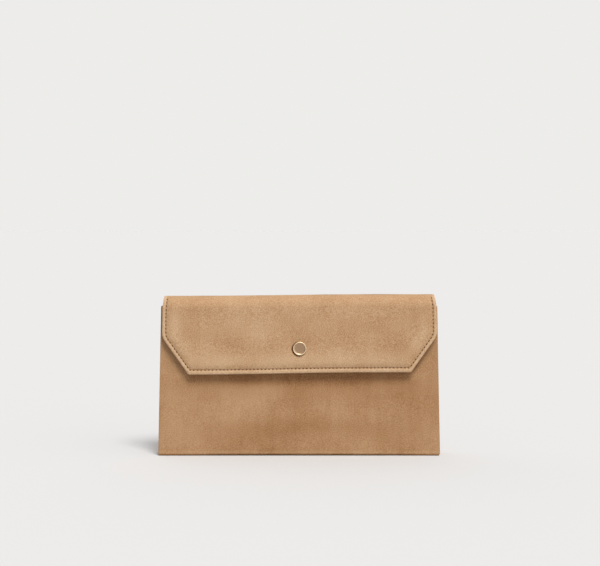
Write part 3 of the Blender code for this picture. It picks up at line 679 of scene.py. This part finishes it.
def nap_and_shade_on_flap(x, along):
    """Painted highlights in a band inside the seam, above the tip and on the rolled edge, painted shade in the
    seam's groove, the stud's painted shadow as a dark crescent at its lower left, and soft spots of tone."""
    edge = flap_edge_distance(x, along)
    # Painted highlights: a band inside the seam, a band above the tip, and the rolled edge.
    painted_seam_highlight = 0.09 * bell(edge, 12 * MM, 5 * MM) * ease(along, ARC, ARC + 15 * MM)
    painted_tip_highlight = 0.07 * bell(TIP - along, 9 * MM, 4 * MM)
    painted_edge_highlight = 0.21 * (1 - ease(edge, 2.2 * MM, 3.4 * MM))
    # Painted shade in the seam's groove, and the stud's painted shadow: a dark disc set to its lower left, of which a
    # crescent shows.
    groove = 0.04 * bell(edge, SEAM, 0.7 * MM)
    from_stud_shadow = np.hypot(x + 0.55 * MM, along - STUD_ALONG - STUD_DROP - 0.85 * MM) / (STUD_RADIUS + 0.5 * MM)
    return painted_seam_highlight + painted_edge_highlight + painted_tip_highlight - groove - 0.9 * np.exp(-(from_stud_shadow**12)) + spots(FLAP_SPOTS, x, along)


def round_steps(radius, steps):
    """Distances above the tip at which the rows round a corner lie, closest at the tip."""
    return radius * (1 - np.cos(np.linspace(0, math.radians(56), steps)))


def down_from_crown(tip, corner, above, rows):
    """Distances from the crown of a layer's rows, from its tip upwards: the rows round the corner, those above
    it, and even steps up the flap and over the fold."""
    rest = np.linspace(above[-1], tip - ARC, rows)[1:]
    over_fold = tip - ARC + np.linspace(0, ARC, 20)[1:]
    return tip - join([corner, above, rest, over_fold])


inner_tip = TIP - FLAP_ROLL
corner = round_steps(FLAP_CORNER_RADIUS - FLAP_ROLL, 7)
flap_along = down_from_crown(inner_tip, corner, corner[-1] + np.arange(0.3, 8, 0.33) * MM, 24)
near_stud = np.arange(-10, 10.1, 0.5) * MM
flap_along = np.union1d(flap_along, STUD_ALONG + near_stud)[::-1, None]
flap_along[-1] = 0.0
on_fold = flap_half_width(flap_along, 0.0) - flap_edge_roll(flap_along)
half = np.where(flap_along < ARC + 6 * MM, on_fold, flap_half_width(flap_along, FLAP_ROLL))
share = np.union1d(graded(2.0, 0.066, 0.0028, 0.0205) - 1, near_stud / FLAP_SIDE_HALF)[None, :]
flap_x = share * half
face = flap_surface(flap_x, flap_along, flap_relief(flap_x, flap_along))


def along_rim(grid):
    """The grid's border as one line: down its left side, along the tip, and up its right side."""
    return join([grid[::-1, 0], grid[0, 1:-1], grid[:, -1]])


def outward_from(border, normal):
    """The direction away from a surface at its border, square to the border and to the surface's normal."""
    outward = np.cross(np.gradient(border, axis=0), normal)
    return outward / np.linalg.norm(outward, axis=1, keepdims=True)


def edge_rings(border, normal, ring_out, ring_in):
    """Rings from the end of the tuck round to the border: a half ellipse, ring_out wide and 2 ring_in thick."""
    outward = outward_from(border, normal)
    turn = np.linspace(math.pi, 0, 9)[:, None, None]
    rings = border + outward * ring_out * np.sin(turn) - normal * ring_in * (1 - np.cos(turn))
    return join([(rings[0] - outward * FLAP_TUCK)[None], rings])


rim_along = along_rim(np.broadcast_to(flap_along, flap_x.shape))
roll, thickness = flap_edge_roll(rim_along)[:, None], flap_edge_thickness(rim_along)[:, None]
rings = edge_rings(along_rim(face), cover_normal(rim_along), roll, thickness / 2)
face_nap_and_shade = nap_and_shade_on_flap(flap_x, flap_along)
ring_nap_and_shade = np.broadcast_to(along_rim(face_nap_and_shade), rings.shape[:-1])
flap_suede = make_piece("flap_suede", [face, rings], SUEDE, **suede_marks([face_nap_and_shade, ring_nap_and_shade], FLAP_GRAIN))
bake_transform(flap_suede)
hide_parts("flap_panel", "fold_panel")

# %% [markdown]
# The inside of the flap is faced with thin leather, glued and sewn on 1.5 mm inside the turned edge. It goes
# over the fold with the suede and ends inside the back wall. It is made like the suede, at another depth, and
# its faces are turned to look inwards.

# %% Facings of the flap and the fold
FACING_INSET, FACING_THICKNESS = 1.5 * MM, 0.5 * MM
FACING_BELOW_EDGE, FACING_BELLY = 0.45 * MM, 1.7 * MM
INNER_DEPTH = 3.4 * MM
BACK_FACING_FOOT = 120 * MM


def facing_depth(x, along):
    """Depth of the facing's inner face: just inside the turned edge, with a groove where the seam comes through."""
    on_flap = ease(along, 0.3 * ARC, ARC)
    groove = 0.25 * MM * bell(flap_edge_distance(x, along), SEAM, 0.7 * MM) * on_flap
    belly = FACING_BELLY * swell(x) * on_flap * ease(TIP - along, 6 * MM, 24 * MM)
    return flap_edge_thickness(along) + FACING_BELOW_EDGE + belly - groove


facing_along = down_from_crown(TIP - FACING_INSET, round_steps(1.5 * MM, 6), np.arange(1.2, 8, 0.5) * MM, 20)[:, None]
facing_along[-1] = 0.0
facing_share = graded(2.0, 0.06, 0.004, 0.03)[None, :] - 1
facing_x = facing_share * flap_half_width(facing_along, FACING_INSET)
facing_face = flap_surface(facing_x, facing_along, -facing_depth(facing_x, facing_along))
facing_normal = cover_normal(along_rim(np.broadcast_to(facing_along, facing_x.shape)))
border = along_rim(facing_face)
turn = np.linspace(math.pi / 2, 0, 5)[:, None, None]
facing_out = outward_from(border, facing_normal) * 0.3 * MM * np.sin(turn)
facing_rings = border + facing_out + facing_normal * FACING_THICKNESS * (1 - np.cos(turn))
flap_lining = make_piece("flap_inner_facing", [facing_face, facing_rings], FACING, flip=True)
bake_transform(flap_lining)
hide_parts("flap_facing")

below_fold = ARC + np.array([1, 2, 3, 5, 8, 12, 16, 20]) * MM
drop = join([np.linspace(0, ARC, 20), below_fold, [ARC + back_foot - BACK_FACING_FOOT]])[:, None]
inner_depth = 2 * ROLL + FACING_BELOW_EDGE + 1.75 * MM * ease(drop, 0.75 * ARC, ARC + 4 * MM)
narrow = FOLD_HALF - FACING_INSET - 6.0 * MM * ease(drop, 0.45 * ARC, 0.85 * ARC)
back_facing_x = np.linspace(-1, 1, 81)[None, :] * narrow
inner_y, inner_z = cover_point(-drop, inner_depth)
back_facing_grid = points(back_facing_x, inner_y, inner_z + tilt(back_facing_x, tilt_down_back(drop)))
back_inner = make_piece("back_inner_facing", [back_facing_grid], FACING, flip=True, thickness=FACING_THICKNESS)
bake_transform(back_inner)
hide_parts("back_facing", "fold_facing")

# %% [markdown]
# ## The mouth and the lining
# A suede facing hems the inside of the front wall. Below it the walls are lined with twill, which is cut a
# little loose and so wanders by a fraction of a millimetre. A flat slip pocket with a leather binding is sewn
# to the back lining.

# %% Inner faces of the walls
LAYER_HALF = MOUTH_HALF - 7.5 * MM
CLOTH = 0.4 * MM
LINING_FOOT, LINING_TOP = 4 * MM, BACK_FACING_FOOT - 0.3 * MM
LAYER_GRID = 24, 81


def inner_wall(name, side, foot, top, half_width, depth, thickness, material, body, wave=0.0, **more):
    """A flat layer on the inside of a wall, from foot to top, its face at a depth and waved a little."""
    up = np.linspace(foot, top, LAYER_GRID[0])[:, None]
    x = np.linspace(-1, 1, LAYER_GRID[1])[None, :] * half_width
    y, z = wall_point(up, -depth - ripple(x * 1.7, up * 1.4, wave) * ease(top - up, 0, 9 * MM), side)
    return make_piece(name, [points(x, y, z)], material, body, flip=side < 0, thickness=thickness, **more)


mouth_facing = inner_wall(
    "front_mouth_facing", -1, BACK_FACING_FOOT, MOUTH_UP - 1.0 * MM, LAYER_HALF, INNER_DEPTH, 0.6 * MM, SUEDE,
    "front_wall", **suede_marks([np.zeros(LAYER_GRID)], BODY_GRAIN),
)
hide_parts("front_facing")

for side, word, body in ((-1, "front", "front_wall"), (1, "back", "bag_body")):
    cloth = inner_wall(
        f"{word}_twill_lining", side, LINING_FOOT, LINING_TOP, LAYER_HALF, INNER_DEPTH, CLOTH, TWILL, body,
        wave=0.25 * MM,
    )
    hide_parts(f"{word}_lining")

cloth_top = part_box("base_lining")[1]
base_x, base_depth = np.linspace(-1, 1, 61)[None, :] * cloth_top.x, np.linspace(-1, 1, 9)[:, None] * cloth_top.y
base_grid = points(base_x, base_depth, cloth_top.z)
base_cloth = make_piece("base_twill_lining", [base_grid], TWILL, "bag_body", thickness=CLOTH)
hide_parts("base_lining")

# %% Slip pocket
POCKET_HALF, POCKET_FOOT, POCKET_TOP, BINDING = 75 * MM, 34 * MM, 104 * MM, 7 * MM
POCKET_DEPTH = 4.3 * MM
POCKET_CLOTH_TOP = POCKET_TOP - BINDING + 1 * MM
BINDING_ROUND = 0.5 * MM
pocket = inner_wall(
    "slip_pocket_twill", 1, POCKET_FOOT, POCKET_CLOTH_TOP, POCKET_HALF, POCKET_DEPTH, CLOTH, TWILL, "bag_body",
    wave=0.2 * MM,
)
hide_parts("slip_pocket")

# The binding: a step out from the cloth, a flat face, and a round over the pocket's top edge.
turn = np.radians(np.linspace(15, 90, 6))
binding_flat = np.linspace(POCKET_TOP - BINDING, POCKET_TOP - BINDING_ROUND, 8)
binding_top = POCKET_TOP - BINDING_ROUND + BINDING_ROUND * np.sin(turn)
binding_up = join([[POCKET_TOP - BINDING], binding_flat, binding_top])
binding_out = join([[0], np.full(8, 0.8), 0.3 + 0.5 * np.cos(turn)]) * MM
binding_y, binding_z = wall_point(binding_up[:, None], -3.7 * MM - binding_out[:, None], 1)
binding_grid = points(np.linspace(-1, 1, 61)[None, :] * POCKET_HALF, binding_y, binding_z)
binding = make_piece("slip_pocket_binding", [binding_grid], FACING, "bag_body", thickness=0.3 * MM)
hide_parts("pocket_binding")

# %% [markdown]
# ## The gussets
# A gusset is a side wall folded inwards along its middle, shallow at the base and deep at the mouth. Its
# section has seven key points: seam, tab, shoulder, crease, and the same mirrored. They are spread to many
# points by straight lines and then smoothed, which gives cloth's soft corners.

# %% Gussets and their lining
SET_IN, TAB_IN, SHOULDER_IN = 0.8 * MM, 3 * MM, 6.8 * MM
CREASE_AT_BASE, CREASE_AT_MOUTH = SET_IN + 1.6 * MM, SET_IN + 14.0 * MM
SEAM_BACK, SHOULDER_BACK = 1.8 * MM, 4.2 * MM
GUSSET_COLUMNS, GUSSET_ROWS, SOFTENING = 57, 40, 10


def soften(values, rounds):
    """Rounds the corners of each row: every point moves to the mean of itself and its neighbours, many times."""
    for _ in range(rounds):
        between = (values[:, :-2] + 2 * values[:, 1:-1] + values[:, 2:]) / 4
        values = join([values[:, :1], between, values[:, -1:]], axis=1)
    return values


def gusset_grid(side, foot, behind):
    """The folded section at each height, `behind` the suede, from the front seam to the back one."""
    up = np.linspace(foot, MOUTH_UP, GUSSET_ROWS)[:, None]
    crease = CREASE_AT_BASE + (CREASE_AT_MOUTH - CREASE_AT_BASE) * up / MOUTH_UP
    half_depth = HALF_DEPTH - SIN / COS * up
    shoulder_in = np.minimum(SHOULDER_IN, crease)
    shoulder_y, seam_y = half_depth - SHOULDER_BACK, half_depth - SEAM_BACK
    shift = behind * np.hypot(crease - shoulder_in, shoulder_y) / shoulder_y
    inset, y = [crease + shift, shoulder_in + shift], [0 * up, shoulder_y]
    if not behind:
        inset += [np.minimum(TAB_IN, crease), 0 * up + SET_IN]
        y += [seam_y, seam_y]
    keys_in = join(inset[:0:-1] + inset, axis=1)
    keys_y = join([-v for v in y[:0:-1]] + y, axis=1)
    spot = np.linspace(0, keys_in.shape[1] - 1, GUSSET_COLUMNS)
    low = np.minimum(spot.astype(int), keys_in.shape[1] - 2)
    rest = spot - low
    spread_in, spread_y = (soften(v[:, low] * (1 - rest) + v[:, low + 1] * rest, SOFTENING) for v in (keys_in, keys_y))
    return points(side * (wall_half_width(up) - spread_in), spread_y, up)


for side, word in ((-1, "left"), (1, "right")):
    for kind, foot, behind, thick, finish, colour_slot in (
        ("suede", 1.0 * MM, 0.0, 0.8 * MM, SUEDE, "suede"),
        ("twill", 4 * MM, 1.05 * MM, CLOTH, TWILL, "lining_twill"),
    ):
        grid = gusset_grid(side, foot, behind)
        marks = suede_marks([np.full(grid.shape[:-1], -0.05)], BODY_GRAIN) if finish is SUEDE else {}
        wall = make_piece(f"{word}_gusset_{kind}", [grid], finish, flip=side < 0, thickness=thick, offset=0.0, **marks)
        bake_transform(wall)
        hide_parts(f"{word}_gusset" if kind == "suede" else f"{word}_gusset_lining")
        if kind == "twill":
            low, high = (float(np.linalg.norm(np.diff(grid[i], axis=0), axis=1).sum()) for i in (0, -1))

# %% [markdown]
# ## The stitching
# A seam is a row of single stitches, each a short thread that dives into the skin at both ends. One stitch is
# a small tube whose ends close and bend down, and all of a seam's stitches are one array: six points round,
# five along. They are 2 mm long, one every 3.6 mm.

# %% Stitches
PITCH, STITCH, THREAD_RADIUS, THREAD_DIVE = 3.6 * MM, 2.0 * MM, 0.45 * MM, 0.35 * MM
PROUD, INNER_PROUD = 0.16 * MM, 0.12 * MM


def stitch_grids(line, normal):
    """A stitch every pitch along a line, as (stitch, along, around, 3) points: a tube whose radius closes at its
    ends and whose middle line bends down, against the normal."""
    normal = np.broadcast_to(normal, line.shape)
    run = join([[0], np.cumsum(np.linalg.norm(np.diff(line, axis=0), axis=1))])
    count = int(run[-1] // PITCH)
    at = (run[-1] - PITCH * (count - 1)) / 2 + PITCH * np.arange(count)
    read = lambda values, where: np.stack([np.interp(where, run, values[:, i]) for i in range(3)], axis=1)
    ahead, up = read(line, at + 0.4 * MM) - read(line, at - 0.4 * MM), read(normal, at)
    ahead /= np.linalg.norm(ahead, axis=1, keepdims=True)
    place, ahead, up, aside = (v[:, None, None, :] for v in (read(line, at), ahead, up, np.cross(ahead, up)))
    t = np.linspace(-1, 1, 6)[None, :, None, None]
    around = np.linspace(0, 2 * math.pi, 7)[None, None, :, None]
    middle = place + ahead * t * STITCH / 2 - up * THREAD_DIVE * t**4
    return middle + THREAD_RADIUS * np.sqrt(np.maximum(1 - t**6, 0)) * (aside * np.sin(around) + up * np.cos(around))


# The flap's seam: down the left side, round the corner, along the tip, and the same mirrored.
seam_tip = TIP - TIP_SEAM
near_tip = seam_tip - 3 * MM * np.cos(np.linspace(0, math.pi / 2, 40))[1:]
side_along = join([np.linspace(0.3 * ARC, seam_tip - 3 * MM, 300), near_tip])
side_x = flap_half_width(side_along, SEAM, TIP_SEAM)
tip_x = np.linspace(-side_x[-1], side_x[-1], 300)[1:-1]
seam_x = join([-side_x, tip_x, side_x[::-1]])
seam_along = join([side_along, np.full(tip_x.size, seam_tip), side_along[::-1]])
seam_normal = cover_normal(seam_along)
outer_line = flap_surface(seam_x, seam_along, flap_relief(seam_x, seam_along) + PROUD)
inner_line = flap_surface(seam_x, seam_along, -facing_depth(seam_x, seam_along) - INNER_PROUD)
outer, inner = stitch_grids(outer_line, seam_normal), stitch_grids(inner_line, -seam_normal)
flap_stitches = make_piece("flap_stitches", [outer, inner], THREAD)
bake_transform(flap_stitches)
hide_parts("flap_thread")
print(f"{len(outer)} stitches round the flap")

mouth_x = np.linspace(-1, 1, 50) * (MOUTH_HALF - SEAM)
mouth_line = points(mouth_x, *wall_point(MOUTH_UP - SEAM, PROUD, -1))
mouth_inner = points(mouth_x * 0.955, *wall_point(MOUTH_UP - SEAM, -INNER_DEPTH - INNER_PROUD, -1))
mouth_grids = [stitch_grids(mouth_line, [0, -COS, SIN]), stitch_grids(mouth_inner, [0, COS, -SIN])]
mouth_stitches = make_piece("mouth_stitches", mouth_grids, THREAD, "front_wall")
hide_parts("mouth_thread")

# The pocket's seam: down one side, along its foot and up the other side.
pocket_reach, pocket_low = POCKET_HALF - 2 * MM, POCKET_FOOT + 2 * MM
side_up = np.linspace(POCKET_TOP - BINDING - 0.5 * MM, pocket_low, 40)
pocket_x = join([np.full(40, -pocket_reach), np.linspace(-1, 1, 80) * pocket_reach, np.full(40, pocket_reach)])
pocket_up = join([side_up, np.full(80, pocket_low), side_up[::-1]])
pocket_line = points(pocket_x, *wall_point(pocket_up, -POCKET_DEPTH - 0.15 * MM, 1))
pocket_stitches = make_piece("pocket_stitches", [stitch_grids(pocket_line, [0, -COS, -SIN])], THREAD, "bag_body")
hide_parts("pocket_thread")

# %% [markdown]
# ## The stud
# The stud is turned: a profile of radius and height swept round its axis. Its polished rim stands above a
# sunk matt disc. The axis is the snap's, square to the front wall, so its middle comes from the stud's own box.

# %% Stud
def turned_grid(profile):
    """Points of a turned piece: (radius, out) rows in mm, `out` from the flap's outside, swept round the axis."""
    radius, out = (np.array(v)[:, None] * MM for v in zip(*profile))
    angle = np.linspace(0, 2 * math.pi, 65)[None, :]
    x, up = radius * np.sin(angle), STUD_UP - STUD_DROP + radius * np.cos(angle)
    y, z = wall_point(up, out + FLAP_OUTSIDE + 0 * up, -1)
    return points(x + FLAP_SHIFT, y, z)


R = STUD_RADIUS / MM
DISC, LIP = R - 1.2, 0.42
quarter = np.radians(np.linspace(0, 90, 7))
disc = [(0, 1.62), (2.2, 1.63), (3.6, 1.65), (DISC, 1.65)]
inner_lip = [(DISC, 1.65), (R - 1.15, 1.7), (R - 1.02, 1.87), (R - 0.9, 2.04), (R - 0.8, 2.12), (R - 0.68, 2.15)]
outer_lip = [(R - LIP + LIP * math.sin(a), 1.73 + LIP * math.cos(a)) for a in quarter]
skirt = [(R, 0.9), (R - 0.05, 0.3), (R - 0.4, -0.1), (R - 1.5, -0.3)]
stud_grids = [turned_grid(disc), turned_grid(inner_lip + outer_lip + skirt)]
stud = make_piece("stud", stud_grids, [DISC_GOLD, RIM_GOLD], "flap")
centres = np.array([face.center for face in stud.data.polygons])
away = np.linalg.norm((centres - centres.mean(axis=0))[:, [0, 2]] / (1, COS), axis=1)
stud.data.polygons.foreach_set("material_index", (away > DISC * MM).astype(np.int32))
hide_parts("stud_cap")

# %% [markdown]
# ## Hidden and metal parts that keep their shape
# Boards, foam and the snap are already right in the frame, so they only get finishes.

# %% Finishes for the frame's own parts
kept = {
    PULPBOARD: ("back_board", "front_board", "base_board", "flap_board"), FOAM: ("flap_foam",),
    BRASS: ("snap_rivet", "snap_cover"), STEEL: ("snap_plate", "snap_male"), FERRITE: ("snap_magnet",),
}
for finish, names in kept.items():
    for name in names:
        part = frame["nodes"][name]
        part.data.materials.clear()
        part.data.materials.append(finish)

# %% [markdown]
# ## Floor, light and camera
# The bag stands on a plain pale floor under one broad soft light from the upper right and an even fill. The
# floor is one flat colour, and beyond its edge the sky seen by the camera has the same colour, so no horizon
# shows. Surfaces and reflections see another sky, a little darker, with a bright panel at the right and a
# dimmer one high behind, which lights the top of the fold.

# %% Floor
FLOOR_COLOUR, FLOOR_REACH = "#CCCCCD", 60
floor_finish, floor_tree, floor_shader, _ = new_material("studio_floor_pale")
feed(floor_tree, floor_shader, {"Base Color": linear(FLOOR_COLOUR), "Roughness": 1.0, "Specular IOR Level": 0.0})
ends = np.array([-1.0, 1.0]) * FLOOR_REACH
floor = make_piece("floor", [points(ends[None, :], ends[:, None], 0.0)], floor_finish)
floor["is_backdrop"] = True

# %% Sky and key light
BACKGROUND = "#EDECEA"
world = bpy.data.worlds.new("studio")
bpy.context.scene.world = world
world.use_nodes = True
tree = world.node_tree
tree.nodes.clear()
direction = add(tree, "ShaderNodeTexCoord").outputs["Generated"]


def sky_panel(toward, start, dim, bright):
    """How bright the sky is: dim, and rising softly to bright toward one direction."""
    facing = add(tree, "ShaderNodeVectorMath", {"operation": "DOT_PRODUCT"}, {0: direction, 1: toward})
    inputs = {"Value": facing.outputs["Value"], "From Min": start, "From Max": 0.95, "To Min": dim, "To Max": bright}
    return add(tree, "ShaderNodeMapRange", {"interpolation_type": "SMOOTHSTEP"}, inputs).outputs["Result"]


right, behind = sky_panel((0.82, -0.45, 0.35), 0.6, 0.37, 1.12), sky_panel((-0.35, 0.85, 0.4), 0.3, 0.0, 0.5)
strength = maths(tree, "ADD", right, behind)
seen = add(tree, "ShaderNodeBackground", inputs={"Color": linear(BACKGROUND), "Strength": 1.0})
fill = add(tree, "ShaderNodeBackground", inputs={"Color": (1.0, 0.99, 0.97, 1.0), "Strength": strength})
ray = add(tree, "ShaderNodeLightPath").outputs["Is Camera Ray"]
both = add(tree, "ShaderNodeMixShader", inputs={0: ray, 1: fill.outputs["Background"], 2: seen.outputs["Background"]})
add(tree, "ShaderNodeOutputWorld", inputs={"Surface": both.outputs["Shader"]})

key_data = bpy.data.lights.new("key", "SUN")
key_data.energy, key_data.angle, key_data.color = 2.95, math.radians(22), (1.0, 0.985, 0.96)
key = bpy.data.objects.new("key", key_data)
key.rotation_mode = "QUATERNION"
key.rotation_quaternion = Vector((0.33, -1.0, 1.6)).to_track_quat("Z", "Y")
bpy.context.scene.collection.objects.link(key)

# %% Camera
LENS, SENSOR, DISTANCE, ELEVATION, RAISED, ASIDE = 85.0, 36.0, 1.368, 6.0, 3.69, 0.8 * MM
low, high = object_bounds()
middle = (low + high) / 2
camera_data = bpy.data.cameras.new("camera")
camera_data.lens, camera_data.sensor_width = LENS, SENSOR
camera = bpy.data.objects.new("camera", camera_data)
lift = math.radians(ELEVATION)
camera.location = (ASIDE, middle.y - DISTANCE * math.cos(lift), middle.z + DISTANCE * math.sin(lift))
camera.rotation_euler = (math.radians(90 - ELEVATION + RAISED), 0, 0)
bpy.context.scene.collection.objects.link(camera)
bpy.context.scene.camera = camera
bpy.context.scene.view_settings.view_transform = "Standard"

# %% [markdown]
# ## The visual model's box
# Its box is printed, so that it can be set beside the frame's box.

# %% Size of the visual model
low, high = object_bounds()
print("visual box", [round(v * 1000, 1) for v in (*low, *high)])
